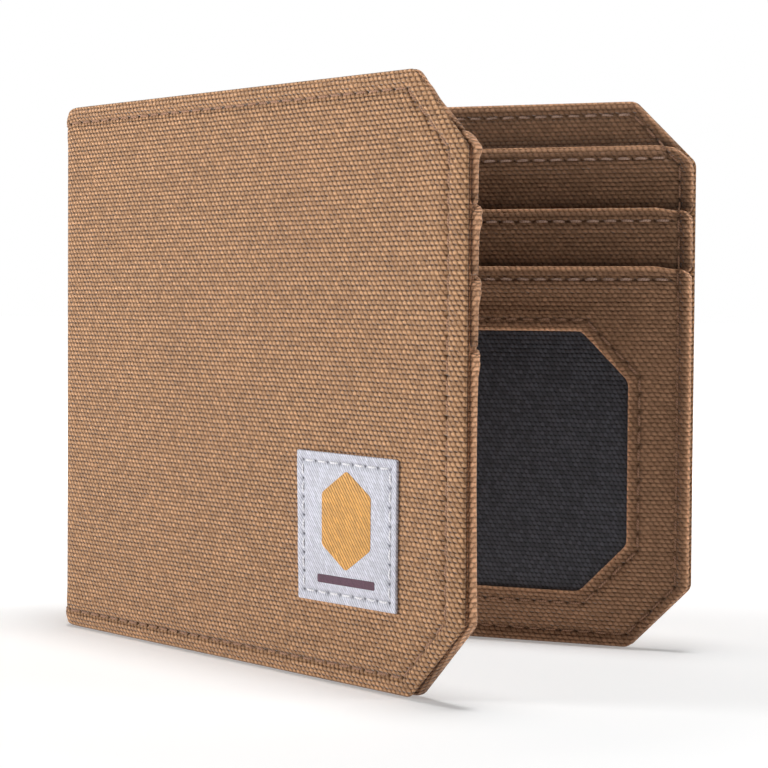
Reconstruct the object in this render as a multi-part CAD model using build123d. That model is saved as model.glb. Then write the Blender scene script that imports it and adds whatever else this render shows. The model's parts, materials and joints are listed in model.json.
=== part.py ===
from build123d import *
import math
import os

# Bifold wallet in woven nylon duck, standing on its bottom edges and partly open like a book.
#
# Row frame: +Z up, the origin at the bottom centre of the wallet's box. The back leaf runs along +X
# from its fold and its cover faces +Y. The spine strip joins it to the front leaf, which opens
# towards -Y. Each leaf is drawn flat first, as a stack of sheets: u runs from the fold's axis to the
# free edge, z is height, and depth is measured inwards from the middle of the cover cloth.

# ---- overall sizes, mm --------------------------------------------------------------------------
LEAF_LENGTH = 105.5        # fold axis to free edge
HEIGHT = 92.0
FRONT_CORNER_CUT = 11.6    # 45 degree cut of the free corners, measured along each edge
BACK_CORNER_CUT = 10.4
CORNER_ROUND = 2.0
SPINE_WIDTH = 19.7         # from one fold axis to the other
FOLD_TURN = 76.7           # how far the cloth turns at each fold at rest, degrees

# ---- cloth thicknesses, mm ----------------------------------------------------------------------
COVER = 0.50
STIFFENER = 0.40           # also the thickness of the cover's turned hem
LINING = 0.20
BILL_GAP = 0.30            # empty note compartment
DUCK = 0.45                # inner panel and card pockets
THREAD_WIDE = 0.50
THREAD_PROUD = 0.18

# ---- depths of the sheets' outer sides, counted inwards -----------------------------------------
COVER_DEPTH = -COVER / 2
STIFFENER_DEPTH = COVER_DEPTH + COVER
BILL_LINING_DEPTH = STIFFENER_DEPTH + STIFFENER
BILL_DEPTH = BILL_LINING_DEPTH + LINING
DIVIDER_LINING_DEPTH = BILL_DEPTH + BILL_GAP
PANEL_DEPTH = DIVIDER_LINING_DEPTH + LINING
POCKET_DEPTH = PANEL_DEPTH + DUCK

# ---- room at the folds and borders, mm ----------------------------------------------------------
LEAF_START = 2.2           # the leaf's sheets begin this far from the fold axis
SPINE_START = 2.0          # the spine's sheets begin this far from each fold axis
POCKET_START = 5.5         # the card pockets' edge beside the fold
HEM_WIDE = 7.0             # turned hem of the cover
RIM_WIDE = 6.0             # sewn-down border that closes the note compartment
LINING_INSET = 1.0         # the lining stops this far inside the cover's edge
SHEET_GAP = 0.3            # between a sheet and the border that surrounds it

# ---- seams, mm from the edge --------------------------------------------------------------------
SEAM_FROM_SIDE = 2.7       # from the top and bottom edges
SEAM_FROM_END = 3.9        # from the free edge
SEAM_FROM_CUT = 3.0        # from the corner cut, square to it
INNER_SEAM_FROM_SIDE = 2.2     # the same seam where it comes out on the pocket side
INNER_SEAM_FROM_END = 2.3
INNER_SEAM_FROM_CUT = 1.8
HEM_SEAM = 2.2             # below each hemmed top edge
FOLD_SIDE_SEAM = 2.2       # from the pockets' edge beside the fold
SEAM_GAP = 1.0             # where one seam meets another, its thread stops this far short

# ---- card pockets: how far each top edge lies below the leaf's top, mm --------------------------
FRONT_POCKET_TOPS = [8.9, 19.3, 29.5, 39.8]
BACK_POCKET_TOPS = [7.5, 17.9]
ID_POCKET_TOP = 27.7

# ---- identity card window, mm -------------------------------------------------------------------
WINDOW_FROM_END = 10.4
WINDOW_LENGTH = 77.0
WINDOW_BOTTOM = 9.2
WINDOW_HEIGHT = 44.1
WINDOW_CUT = 8.3
WINDOW_ROUND = 2.0
WINDOW_SEAM = 2.0          # from the window's edge

# ---- woven label on the front cover, mm ---------------------------------------------------------
LABEL_LENGTH = 23.2
LABEL_HEIGHT = 22.8
LABEL_THICK = 0.40
LABEL_FROM_END = 13.9
LABEL_BOTTOM = 12.1
LABEL_SEAM = 1.5


# ---- outlines, drawn flat in u and z ------------------------------------------------------------
def leaf_outline(corner, end=0.0, side=0.0, cut=0.0, start=LEAF_START, rounding=CORNER_ROUND):
    """A leaf's outline, brought in by so much at the free edge, at top and bottom and at the cuts."""
    far = LEAF_LENGTH - end
    reach = corner + cut * math.sqrt(2)
    cut_u = LEAF_LENGTH - reach + side
    cut_z = reach - end
    points = [
        (start, side), (cut_u, side), (far, cut_z),
        (far, HEIGHT - cut_z), (cut_u, HEIGHT - side), (start, HEIGHT - side),
    ]
    sketch = make_face(Polyline(*points, close=True))
    free_points = [point for point in sketch.vertices() if point.X > start + 1]
    return fillet(free_points, rounding)


def rectangle(left, right, bottom, top):
    return Pos((left + right) / 2, (bottom + top) / 2) * Rectangle(right - left, top - bottom)


def below(top, outline):
    """The part of an outline lower than this distance under the leaf's top edge."""
    return outline & rectangle(-10, LEAF_LENGTH + 10, -10, HEIGHT - top)


def window_outline(inset=0.0):
    """The eight-sided window, brought in all round by so much, or let out if that is negative."""
    right = LEAF_LENGTH - WINDOW_FROM_END
    frame = rectangle(
        right - WINDOW_LENGTH + inset, right - inset,
        WINDOW_BOTTOM + inset, WINDOW_BOTTOM + WINDOW_HEIGHT - inset,
    )
    eight_sided = chamfer(frame.vertices(), WINDOW_CUT - inset * (2 - math.sqrt(2)))
    return fillet(eight_sided.vertices(), WINDOW_ROUND)


def seam_line(outline_at, distance):
    """A closed line of thread at this distance inside an outline, as wide as the thread."""
    return outline_at(distance - THREAD_WIDE / 2) - outline_at(distance + THREAD_WIDE / 2)


def edge_seam(corner, from_end, from_side, from_cut):
    """The seam round the free edges: along the bottom, both cuts, the free edge and the top."""
    half = THREAD_WIDE / 2

    def outline(shift):
        return leaf_outline(
            corner, from_end + shift, from_side + shift, from_cut + shift,
            start=LEAF_START + shift, rounding=1.0,
        )
    open_side = rectangle(LEAF_START + half, LEAF_LENGTH, 0, HEIGHT)
    return (outline(-half) - outline(half)) & open_side


# ---- solids -------------------------------------------------------------------------------------
def sheet(outline, depth, thickness):
    """A flat sheet standing in the XZ plane, inwards being -Y."""
    return extrude(Plane.XZ.offset(depth) * outline, amount=thickness)


def merged(*solids):
    body = solids[0]
    for solid in solids[1:]:
        body = body + solid
    return body


def cover(corner):
    """Outer shell: one layer of duck and its hem, turned in all round under the lining."""
    hem = leaf_outline(corner) - leaf_outline(corner, HEM_WIDE, HEM_WIDE, HEM_WIDE, LEAF_START, 0.5)
    return merged(
        sheet(leaf_outline(corner), COVER_DEPTH, COVER),
        sheet(hem, STIFFENER_DEPTH, STIFFENER),
    )


def stiffener(corner):
    """Interlining board that fills the space inside the turned hem."""
    inset = HEM_WIDE + SHEET_GAP
    outline = leaf_outline(corner, inset, inset, inset, LEAF_START + 1.0, 0.5)
    return sheet(outline, STIFFENER_DEPTH, STIFFENER)


def bill_lining(corner):
    outline = leaf_outline(corner, LINING_INSET, LINING_INSET, LINING_INSET)
    return sheet(outline, BILL_LINING_DEPTH, LINING)


def note_space(corner, inset, top):
    """The note compartment's outline: inside the sewn border, and open at the top."""
    upper_part = rectangle(LEAF_START - 1, LEAF_LENGTH - corner - inset, HEIGHT / 2, top)
    return leaf_outline(corner, inset, inset, inset, LEAF_START - 1, 0.5) + upper_part


def divider_lining(corner):
    outline = note_space(corner, RIM_WIDE + SHEET_GAP, HEIGHT - LINING_INSET)
    leaf_side = rectangle(LEAF_START, LEAF_LENGTH, 0, HEIGHT)
    return sheet(outline & leaf_side, DIVIDER_LINING_DEPTH, LINING)


def inner_panel(corner):
    """Duck panel that carries the pockets, with the border that closes the note compartment."""
    border = leaf_outline(corner) - note_space(corner, RIM_WIDE, HEIGHT + 1)
    return merged(
        sheet(leaf_outline(corner), PANEL_DEPTH, DUCK),
        sheet(border, BILL_DEPTH, BILL_GAP + LINING),
    )


def card_pocket(corner, top, depth):
    return sheet(below(top, leaf_outline(corner, start=POCKET_START)), depth, DUCK)


def id_backing(depth):
    """Dark cloth behind the window: the pocket's rear wall, a little short of its edges."""
    inset = LINING_INSET
    outline = leaf_outline(BACK_CORNER_CUT, inset, inset, inset, POCKET_START + inset)
    return sheet(below(ID_POCKET_TOP + inset, outline), depth, LINING)


def id_pocket(depth):
    """Lowest pocket of the back leaf, cut away at the window."""
    face = below(ID_POCKET_TOP, leaf_outline(BACK_CORNER_CUT, start=POCKET_START))
    return sheet(face - window_outline(), depth, DUCK)


def straight_seam(left, right, z, depth):
    half = THREAD_WIDE / 2
    return sheet(rectangle(left, right, z - half, z + half), depth, THREAD_PROUD)


def thread_on_steps(band, tops, faces):
    """Thread of one seam on the pocket side, in a piece for each step that it runs over.

    tops are the steps' upper edges below the leaf's top, and faces the depth of each step's surface.
    """
    pieces = []
    next_tops = [HEIGHT - top for top in tops[1:]] + [0.0]
    for top, bottom, face in zip(tops, next_tops, faces):
        step = rectangle(POCKET_START, LEAF_LENGTH, bottom + THREAD_PROUD, HEIGHT - top)
        pieces.append(sheet(band & step, face, THREAD_PROUD))
    return pieces


def hem_seam(corner, top, face):
    """Thread along a hemmed top edge, stopping just short of the seam round the leaf."""
    z = HEIGHT - top - HEM_SEAM
    seam_at_end = LEAF_LENGTH - INNER_SEAM_FROM_END
    seam_at_cut = LEAF_LENGTH - corner - INNER_SEAM_FROM_CUT * math.sqrt(2) + HEIGHT - z
    left = POCKET_START + FOLD_SIDE_SEAM + SEAM_GAP
    return straight_seam(left, min(seam_at_end, seam_at_cut) - SEAM_GAP, z, face)


def label():
    right = LEAF_LENGTH - LABEL_FROM_END
    outline = rectangle(right - LABEL_LENGTH, right, LABEL_BOTTOM, LABEL_BOTTOM + LABEL_HEIGHT)
    return sheet(outline, COVER_DEPTH - LABEL_THICK, LABEL_THICK)


def label_seam():
    right = LEAF_LENGTH - LABEL_FROM_END
    top = LABEL_BOTTOM + LABEL_HEIGHT

    def inset(distance):
        return rectangle(
            right - LABEL_LENGTH + distance, right - distance,
            LABEL_BOTTOM + distance, top - distance,
        )
    band = seam_line(inset, LABEL_SEAM)
    return sheet(band, COVER_DEPTH - LABEL_THICK - THREAD_PROUD, THREAD_PROUD)


# ---- the stacks ---------------------------------------------------------------------------------
def leaf_stack(corner, pocket_tops, faces):
    """Sheets and threads that both leaves have, keyed by what the piece is.

    pocket_tops are the pockets' top edges below the leaf's top, and faces the depth of the surface
    on the panel and on each pocket in turn.
    """
    steps = [0.0] + pocket_tops
    outer_band = edge_seam(corner, SEAM_FROM_END, SEAM_FROM_SIDE, SEAM_FROM_CUT)
    inner_band = edge_seam(
        corner, INNER_SEAM_FROM_END, INNER_SEAM_FROM_SIDE, INNER_SEAM_FROM_CUT
    )
    top_run = rectangle(0, LEAF_LENGTH - corner - SEAM_GAP, HEIGHT / 2, HEIGHT)
    seam_u = POCKET_START + FOLD_SIDE_SEAM
    half = THREAD_WIDE / 2
    fold_band = rectangle(
        seam_u - half, seam_u + half,
        INNER_SEAM_FROM_SIDE + SEAM_GAP, HEIGHT - pocket_tops[0] - half,
    )
    outer_thread = sheet(outer_band, COVER_DEPTH - THREAD_PROUD, THREAD_PROUD)
    return {
        "cover": cover(corner),
        "stiffener": stiffener(corner),
        "bill_lining": bill_lining(corner),
        "divider_lining": divider_lining(corner),
        "inner_panel": inner_panel(corner),
        "edge_stitching": [outer_thread] + thread_on_steps(inner_band - top_run, steps, faces),
        "panel_stitching": sheet(inner_band & top_run, POCKET_DEPTH, THREAD_PROUD),
        "fold_side_stitching": thread_on_steps(fold_band, pocket_tops, faces[1:]),
        "pocket_stitching": [
            hem_seam(corner, top, face) for top, face in zip(pocket_tops, faces[1:])
        ],
    }


def front_leaf():
    """The front leaf, with four stepped card pockets and the label."""
    corner = FRONT_CORNER_CUT
    faces = [POCKET_DEPTH + DUCK * count for count in range(len(FRONT_POCKET_TOPS) + 1)]
    pieces = leaf_stack(corner, FRONT_POCKET_TOPS, faces)
    for number, top in enumerate(FRONT_POCKET_TOPS, start=1):
        pieces[f"card_pocket_{number}"] = card_pocket(corner, top, faces[number - 1])
    named = {f"front_{name}": piece for name, piece in pieces.items()}
    named["label"] = label()
    named["label_stitching"] = label_seam()
    return named


def back_leaf():
    """The back leaf, with two card pockets and the identity card pocket over them."""
    corner = BACK_CORNER_CUT
    faces = [POCKET_DEPTH + DUCK * count for count in range(len(BACK_POCKET_TOPS) + 1)]
    backing_depth = faces[-1]
    id_depth = backing_depth + LINING
    id_face = id_depth + DUCK
    pieces = leaf_stack(corner, BACK_POCKET_TOPS + [ID_POCKET_TOP], faces + [id_face])
    pieces["card_pocket_upper"] = card_pocket(corner, BACK_POCKET_TOPS[0], faces[0])
    pieces["card_pocket_lower"] = card_pocket(corner, BACK_POCKET_TOPS[1], faces[1])
    named = {f"back_{name}": piece for name, piece in pieces.items()}
    named["id_backing"] = id_backing(backing_depth)
    named["id_pocket"] = id_pocket(id_depth)
    named["id_window_stitching"] = sheet(
        seam_line(window_outline, -WINDOW_SEAM), id_face, THREAD_PROUD
    )
    return named


def spine():
    """The strip between the folds, drawn along u from the front fold to the back one."""
    left = SPINE_START
    right = SPINE_WIDTH - SPINE_START
    divider_depth = STIFFENER_DEPTH + LINING + BILL_GAP
    whole = rectangle(left, right, 0, HEIGHT)
    lined = rectangle(left, right, LINING_INSET, HEIGHT - LINING_INSET)
    above_border = rectangle(left, right, RIM_WIDE, HEIGHT - LINING_INSET)
    border = rectangle(left, right, 0, RIM_WIDE)
    return {
        "spine_cover": sheet(whole, COVER_DEPTH, COVER),
        "spine_bill_lining": sheet(lined, STIFFENER_DEPTH, LINING),
        "spine_divider_lining": sheet(above_border, divider_depth, LINING),
        "spine_inner_panel": merged(
            sheet(whole, divider_depth + LINING, DUCK),
            sheet(border, STIFFENER_DEPTH + LINING, BILL_GAP + LINING),
        ),
        "spine_stitching": [
            straight_seam(left, right, z, COVER_DEPTH - THREAD_PROUD)
            for z in (SEAM_FROM_SIDE, HEIGHT - SEAM_FROM_SIDE)
        ],
    }


# ---- the partly open wallet ---------------------------------------------------------------------
def solids_of(piece):
    """The separate solids of a piece, whether it was drawn as one shape or as several."""
    shapes = piece if isinstance(piece, list) else [piece]
    return [solid for shape in shapes for solid in shape.solids()]


def placed(piece, place, mirrored=False):
    solids = solids_of(piece)
    if mirrored:
        solids = [mirror(solid, about=Plane.XZ) for solid in solids]
    solids = [place * solid for solid in solids]
    return solids[0] if len(solids) == 1 else Compound(solids)


spine_angle = FOLD_TURN                  # of the strip's line, from the front fold to the back one
front_angle = 2 * FOLD_TURN - 180        # of the front leaf's line
back_fold = Vector(0, 0, 0)
front_fold = back_fold - Vector(SPINE_WIDTH, 0, 0).rotate(Axis.Z, spine_angle)

assembly = {name: placed(piece, Pos(back_fold)) for name, piece in back_leaf().items()}
for name, piece in spine().items():
    assembly[name] = placed(piece, Pos(front_fold) * Rot(0, 0, spine_angle))
for name, piece in front_leaf().items():
    assembly[name] = placed(piece, Pos(front_fold) * Rot(0, 0, front_angle), mirrored=True)

box = Compound(list(assembly.values())).bounding_box()
to_origin = Pos(-(box.min.X + box.max.X) / 2, -(box.min.Y + box.max.Y) / 2, -box.min.Z)

os.makedirs("parts", exist_ok=True)
for name, piece in assembly.items():
    export_step(piece.moved(to_origin), f"parts/{name}.step")

for name, fold in (("back_fold", back_fold), ("front_fold", front_fold)):
    axis_point = to_origin * Pos(fold)
    print(name, "axis at", [round(value, 3) for value in tuple(axis_point.position)])
print(len(assembly), "nodes, size", [round(value, 2) for value in tuple(box.size)])
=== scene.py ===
import json
import math

import bmesh
import bpy
import numpy as np
from mathutils import Matrix, Vector
from mathutils.geometry import delaunay_2d_cdt


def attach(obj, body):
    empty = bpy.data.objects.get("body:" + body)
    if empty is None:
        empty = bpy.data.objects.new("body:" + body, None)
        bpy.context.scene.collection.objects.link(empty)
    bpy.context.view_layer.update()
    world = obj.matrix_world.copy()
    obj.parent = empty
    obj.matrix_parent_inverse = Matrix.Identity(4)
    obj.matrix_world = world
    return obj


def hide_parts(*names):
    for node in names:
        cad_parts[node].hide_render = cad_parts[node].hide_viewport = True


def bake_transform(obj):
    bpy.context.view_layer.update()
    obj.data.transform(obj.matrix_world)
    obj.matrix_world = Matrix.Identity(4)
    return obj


# Bifold wallet: cloth, linings, pockets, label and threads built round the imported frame.
# Lengths are in mm until a mesh is placed, because the cloth is fractions of a millimetre thick.

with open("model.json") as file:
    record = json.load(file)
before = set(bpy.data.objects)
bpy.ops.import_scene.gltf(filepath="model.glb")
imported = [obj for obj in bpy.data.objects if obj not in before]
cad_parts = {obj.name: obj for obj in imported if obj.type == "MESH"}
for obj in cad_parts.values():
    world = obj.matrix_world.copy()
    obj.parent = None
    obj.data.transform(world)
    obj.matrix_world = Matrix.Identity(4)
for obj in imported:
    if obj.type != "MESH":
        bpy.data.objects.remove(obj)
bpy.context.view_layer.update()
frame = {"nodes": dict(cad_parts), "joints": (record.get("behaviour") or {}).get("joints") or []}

MM = 0.001


def added(name, data):
    """A new object in the scene."""
    made = bpy.data.objects.new(name, data)
    bpy.context.scene.collection.objects.link(made)
    return made


# ---- camera ----
CAMERA_PLACE = (148.5, -322.6, 58.0)
CAMERA_TURNS = (22.83, -2.15, -0.40)     # yaw, pitch and roll, degrees
CAMERA_LENS, SENSOR = 102.1, 36.0


def add_camera():
    yaw, pitch, roll = map(math.radians, CAMERA_TURNS)
    turned = Matrix.Rotation(yaw, 3, "Z") @ Matrix.Rotation(pitch, 3, "X") @ Matrix.Rotation(roll, 3, "Y")
    data = bpy.data.cameras.new("camera")
    data.lens, data.sensor_width = CAMERA_LENS, SENSOR
    data.clip_start, data.clip_end = 0.01, 20.0
    camera = added("camera", data)
    right, forward, up = turned.col
    axes = Matrix((right, up, -forward)).transposed()
    camera.matrix_world = Matrix.Translation(Vector(CAMERA_PLACE) * MM) @ axes.to_4x4()
    bpy.context.scene.camera = camera


add_camera()

# ---- sizes, mm ----
FOLD_RADIUS = 2.6          # of the cover cloth's middle, round each fold
ROUNDING = 2.0             # of the leaves' corners
FRONT_CUT, BACK_CUT = 11.6, 10.4
WINDOW_CUT = 8.3
HEM = 7.0                  # turned hem of the cover
COVER_SEAM = (2.7, 3.9, 3.0)   # from the sides, the free edge and the corner cuts
INNER_SEAM = (2.2, 2.3, 1.8)
HEM_SEAM = 2.2             # below a hemmed top edge
WINDOW_SEAM = 2.0
LABEL_SEAM = 1.5
PITCH = 3.0                # of the stitches
THREAD = 0.20              # half the thread's width
FOLD_DIP = (1.7, 0.6, 0.25)    # half-width of the dip in the edges at a fold; its size at top and bottom
TOP_PINCH = 0.42           # share of the thickness that is lost at the top edge
GAPE = 0.75                # of a pocket's mouth
RIM_DROOP = 0.45           # of its end, at the free edge's seam
# Depths of both faces of the inner sheets, from the middle of the cover cloth.
BOARD = (0.27, 0.63)
BILL_LINING = (0.67, 0.85)
DIVIDER_LINING = (1.15, 1.34)
BACKING = (2.72, 2.90)
STACK_BASE = 1.35          # depth of the inner panel's back, where the pocket stack starts
SEWN_START = 3.0           # of the seams that are sewn on a leaf, from its fold
# Share of the stack's thickness that is left at the free edge, by distance below the top.
BACK_EDGE = ([0, 7.5, 17, 27, 40, 60, 92], [1.2, 1.2, 1.0, 0.80, 0.58, 0.50, 0.48])
FRONT_EDGE = (
    [0, 8.9, 19, 24, 29.5, 35, 39.8, 48, 60, 92], [1.3, 1.3, 1.03, 0.9, 0.78, 0.68, 0.60, 0.50, 0.46, 0.75],
)


def smooth(x, low, high):
    t = np.clip((x - low) / (high - low), 0, 1)
    return t * t * (3 - 2 * t)


def bell(x, width):
    return np.exp(-((x / width) ** 2))


def waves(s, z, seed, size=26.0):
    """Slow unevenness of handled cloth, from -1 to 1."""
    rng = np.random.default_rng(seed)
    total = np.zeros(np.broadcast(s, z).shape)
    for _ in range(6):
        angle, phase, scale = rng.uniform(0, math.pi), rng.uniform(0, 2 * math.pi), rng.uniform(0.6, 1.7)
        k = 2 * math.pi / (size * scale)
        total = total + np.sin(k * (s * math.cos(angle) + z * math.sin(angle)) + phase)
    return total / 3.2


# ---- outlines ----
class Outline:
    """Convex polygon in s and z, counter-clockwise, with one radius at its corners.

    cut is the index of a side that is a plain end, where the cloth goes on in another piece.
    """

    def __init__(self, points, radius=ROUNDING, cut=None):
        self.points = np.array(points, float)
        self.radius, self.cut = radius, cut
        along = np.roll(self.points, -1, 0) - self.points
        along /= np.linalg.norm(along, axis=1)[:, None]
        self.along = along
        self.normals = np.column_stack([along[:, 1], -along[:, 0]])
        self.reach = (self.points * self.normals).sum(1)

    def inset(self, distance, radius=None):
        """Each side brought in by one distance, or by its own from a list."""
        distances = np.broadcast_to(np.asarray(distance, float), len(self.points)).copy()
        if self.cut is not None:
            distances[self.cut] = 0
        reach = self.reach - distances
        points = [np.linalg.solve(self.normals[[i - 1, i]], reach[[i - 1, i]]) for i in range(len(reach))]
        if radius is None:
            radius = max(0.4, self.radius - float(distances.max()))
        return Outline(points, radius, self.cut)

    def depth(self, s, z):
        """How far inside the nearest side each point is, and that side's outward normal."""
        gaps = self.reach - np.stack([s, z], -1) @ self.normals.T
        if self.cut is not None:
            gaps[..., self.cut] = 1e6
        nearest = gaps.argmin(-1)
        return gaps.min(-1), self.normals[nearest]

    def contains(self, points, margin):
        gaps = self.reach - points @ self.normals.T
        return (gaps > margin).all(1)

    def samples(self, spacing):
        """Points along the rounded outline, and their outward normals."""
        places, normals = [], []
        count = len(self.points)
        half_turns = []
        for i in range(count):
            turn = math.acos(float(np.clip(self.along[i - 1] @ self.along[i], -1, 1)))
            plain = self.cut is not None and i in (self.cut, (self.cut + 1) % count)
            half_turns.append(0.0 if plain else turn / 2)
        for i in range(count):
            corner, half = self.points[i], half_turns[i]
            if half:
                setback = self.radius * math.tan(half)
                centre = corner - setback * self.along[i - 1] - self.radius * self.normals[i - 1]
                steps = max(4, math.ceil(2 * half * self.radius / spacing))
                start = math.atan2(self.normals[i - 1][1], self.normals[i - 1][0])
                for k in range(steps + 1):
                    angle = start + 2 * half * k / steps
                    normal = np.array([math.cos(angle), math.sin(angle)])
                    places.append(centre + self.radius * normal)
                    normals.append(normal)
            else:
                setback = 0.0
                places.append(corner)
                normals.append(self.normals[i - 1] if i == self.cut else self.normals[i])
            following = (i + 1) % count
            first = corner + setback * self.along[i]
            last = self.points[following] - self.radius * math.tan(half_turns[following]) * self.along[i]
            length = float(np.linalg.norm(last - first))
            steps = max(1, math.ceil(length / spacing))
            for k in range(1, steps):
                places.append(first + (last - first) * k / steps)
                normals.append(np.zeros(2) if i == self.cut else self.normals[i])
        return np.array(places), np.array(normals)


# ---- seams ----
class Seam:
    """A line of stitches: needle holes one pitch apart, with one at each corner of the line."""

    def __init__(self, points):
        points = np.array(points, float)
        holes = [points[0]]
        for a, b in zip(points[:-1], points[1:]):
            count = max(1, round(float(np.linalg.norm(b - a)) / PITCH))
            holes += [a + (b - a) * k / count for k in range(1, count + 1)]
        self.holes = np.array(holes)

    def distances(self, place):
        """How far each point is from the nearest needle hole, and from the line."""
        to_hole = to_line = np.full(len(place), np.inf)
        for hole in self.holes:
            to_hole = np.minimum(to_hole, np.linalg.norm(place - hole, axis=1))
        for a, b in zip(self.holes[:-1], self.holes[1:]):
            along = b - a
            t = np.clip((place - a) @ along / (along @ along), 0, 1)
            to_line = np.minimum(to_line, np.linalg.norm(place - a - t[:, None] * along, axis=1))
        return to_hole, to_line

    def seeds(self):
        """Mesh points that follow the line and ring each needle hole."""
        made = []
        for a, b in zip(self.holes[:-1], self.holes[1:]):
            side = np.array([-(b - a)[1], (b - a)[0]]) / np.linalg.norm(b - a)
            for k in range(8):
                made += [a + (b - a) * k / 8 + side * off for off in (0, -.3, .3, -.6, .6, -1.0, 1.0)]
        rings = []
        for hole in self.holes:
            for radius, turn in ((0.16, 0.0), (0.34, 0.4)):
                for k in range(8):
                    angle = turn + k * math.pi / 4
                    rings.append(hole + radius * np.array([math.cos(angle), math.sin(angle)]))
            rings.append(hole)
        return [(rings, 0.10), (made, 0.22)]


def closed(points):
    """The corners of a loop, ending at the first again."""
    return [*points, points[0]]


# ---- the two leaves ----
joint_place = {j["name"]: np.array(j["pos_m"][:2]) / MM for j in frame["joints"]}
BACK_FOLD, FRONT_FOLD = joint_place["back_fold"], joint_place["front_fold"]
STRIP = BACK_FOLD - FRONT_FOLD
HALF_SPINE = float(np.linalg.norm(STRIP)) / 2
STRIP = STRIP / (2 * HALF_SPINE)
STRIP_INWARD = np.array([STRIP[1], -STRIP[0]])
TURN = math.atan2(STRIP[1], STRIP[0])
TANGENT = FOLD_RADIUS * math.tan(TURN / 2)


class Leaf:
    """A leaf with its half of the spine strip.

    s runs along the cloth from the fold to the free edge, and is negative on the strip; z is height;
    v is depth, inwards from the middle of the cover cloth.
    """

    def __init__(self, name, fold, along, inward, strip, corner, edge_share):
        self.name, self.fold, self.along, self.inward = name, fold, along, inward
        self.strip, self.corner, self.edge_share = strip, corner, edge_share
        low, high = self.span(f"{name}_cover")
        self.length, self.height = high[0], high[1]
        self.whole = self.outline(-HALF_SPINE, cut=True)
        self.cover_seam = self.whole.inset(self.seam_insets(COVER_SEAM), radius=1.0)
        self.inner_seam = self.whole.inset(self.seam_insets(INNER_SEAM), radius=1.0)
        self.cover_stitching = Seam(self.cover_seam.points)
        self.shift, self.flip = (0.0, 1.0) if name == "front" else (-2 * HALF_SPINE, -1.0)

    def span(self, node):
        """Lowest and highest s, z and v of a CAD node on this leaf."""
        place = np.array([vertex.co for vertex in frame["nodes"][node].data.vertices]) / MM
        plan = place[:, :2] - self.fold
        table = np.column_stack([plan @ self.along, place[:, 2], plan @ self.inward])
        return table.min(0), table.max(0)

    @staticmethod
    def seam_insets(insets):
        """The inset of each side of the whole outline, in order."""
        side, end, cut = insets
        return [side, cut, end, cut, side, 0.0]

    def outline(self, start, top=0.0, cut=False, inset=0.0):
        """The leaf from s = start, and up to so far below its top edge."""
        right, high, corner = self.length, self.height, self.corner
        points = [(start, 0), (right - corner, 0), (right, corner)]
        if top < corner:
            points += [(right, high - corner), (right - corner + top, high - top), (start, high - top)]
        else:
            points += [(right, high - top), (start, high - top)]
        made = Outline(points, ROUNDING, len(points) - 1 if cut else None)
        return made.inset(inset) if inset else made

    def place(self, s, z, v):
        """Points of the row frame, in metres."""
        s, z, v = (np.asarray(a, float) for a in np.broadcast_arrays(s, z, v))
        turned = np.clip((TANGENT - s) / (2 * TANGENT), 0, 1) * TURN
        normal = (
            np.sin(TURN - turned)[:, None] * self.inward + np.sin(turned)[:, None] * STRIP_INWARD
        ) / math.sin(TURN)
        centre = self.fold + TANGENT * self.along + FOLD_RADIUS * self.inward
        bent = centre - (FOLD_RADIUS - v)[:, None] * normal
        on_leaf = self.fold + s[:, None] * self.along + v[:, None] * self.inward
        on_strip = self.fold - s[:, None] * self.strip + v[:, None] * STRIP_INWARD
        plan = np.where((s > TANGENT)[:, None], on_leaf, np.where((s < -TANGENT)[:, None], on_strip, bent))
        top, bottom = smooth(z, self.height - 9, self.height), 1 - smooth(z, 0, 9)
        drawn_in = bell(s - 0.4, FOLD_DIP[0]) * (FOLD_DIP[1] * top - FOLD_DIP[2] * bottom)
        return np.column_stack([plan, z - drawn_in]) * MM

    def raised(self, s):
        """1 on the leaf and 0 on the strip, whose inner sheets lie closer to the cover."""
        return smooth(s, -TANGENT, TANGENT + 1.0)

    def blend(self, piece):
        """The piece's placement is baked into its mesh."""
        strip_side, leaf_side = self.place([-TANGENT, TANGENT], [0, 0], [0, 0])
        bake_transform(piece)

    def ride(self, piece):
        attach(piece, f"{self.name}_leaf")

    # -- depths
    def cover_face(self, s, z):
        """The cover's outer face."""
        edge, _ = self.whole.depth(s, z)
        inside, _ = self.cover_seam.depth(s, z)
        band = np.clip(-inside / np.maximum(edge - inside, 0.1), 0, 1)
        fold = smooth(np.abs(s), 1.5, 6.0)
        groove = 0.32 * bell(inside, 0.55) * smooth(edge, 0.5, 1.6) * fold
        puff = 0.24 * np.sin(math.pi * band ** 0.6) + 0.10 * bell(inside - 1.9, 1.1) * (inside > 0)
        fall = 0.24 * band ** 2
        return -0.25 + groove - puff + fall + 0.05 * waves(s, z, 3) * smooth(edge, 2, 12) * fold

    def cover_back(self, s, z):
        """The cover's inner face, and that of the hem turned in behind it."""
        edge, _ = self.whole.depth(s, z)
        turned_in = 1 - smooth(edge, HEM, HEM + 0.1)
        thin = 0.15 * (1 - smooth(edge, 0.6, 2.2))
        return self.pinch(s, z, 0.25 + (0.40 - thin) * turned_in * self.raised(s))

    def pinch(self, s, z, v):
        """Everything behind the cover lies closer to it along the top edge."""
        at_top = 1 - smooth(self.height - z, 4.5, 9.5)
        return 0.25 + (v - 0.25) * (1 - TOP_PINCH * at_top * self.raised(s))

    def under(self, s, depth):
        """Depth of an inner sheet: as in the leaf, and closer to the cover on the strip."""
        return depth - 0.40 * (1 - self.raised(s))

    def lining_face(self, depth):
        """The face of a lining at one depth."""
        return lambda s, z: self.pinch(s, z, self.under(s, depth))

    def divider_back(self, s, z):
        """The divider's back, close to the bill lining where the note compartment is sewn shut."""
        edge = np.minimum.reduce([self.length - s, z, (self.length - s + z - self.corner) / math.sqrt(2)])
        sewn_shut = 1 - smooth(edge, 5.0, 6.5)
        return self.pinch(s, z, self.under(s, DIVIDER_LINING[0] - 0.28 * sewn_shut))

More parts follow.
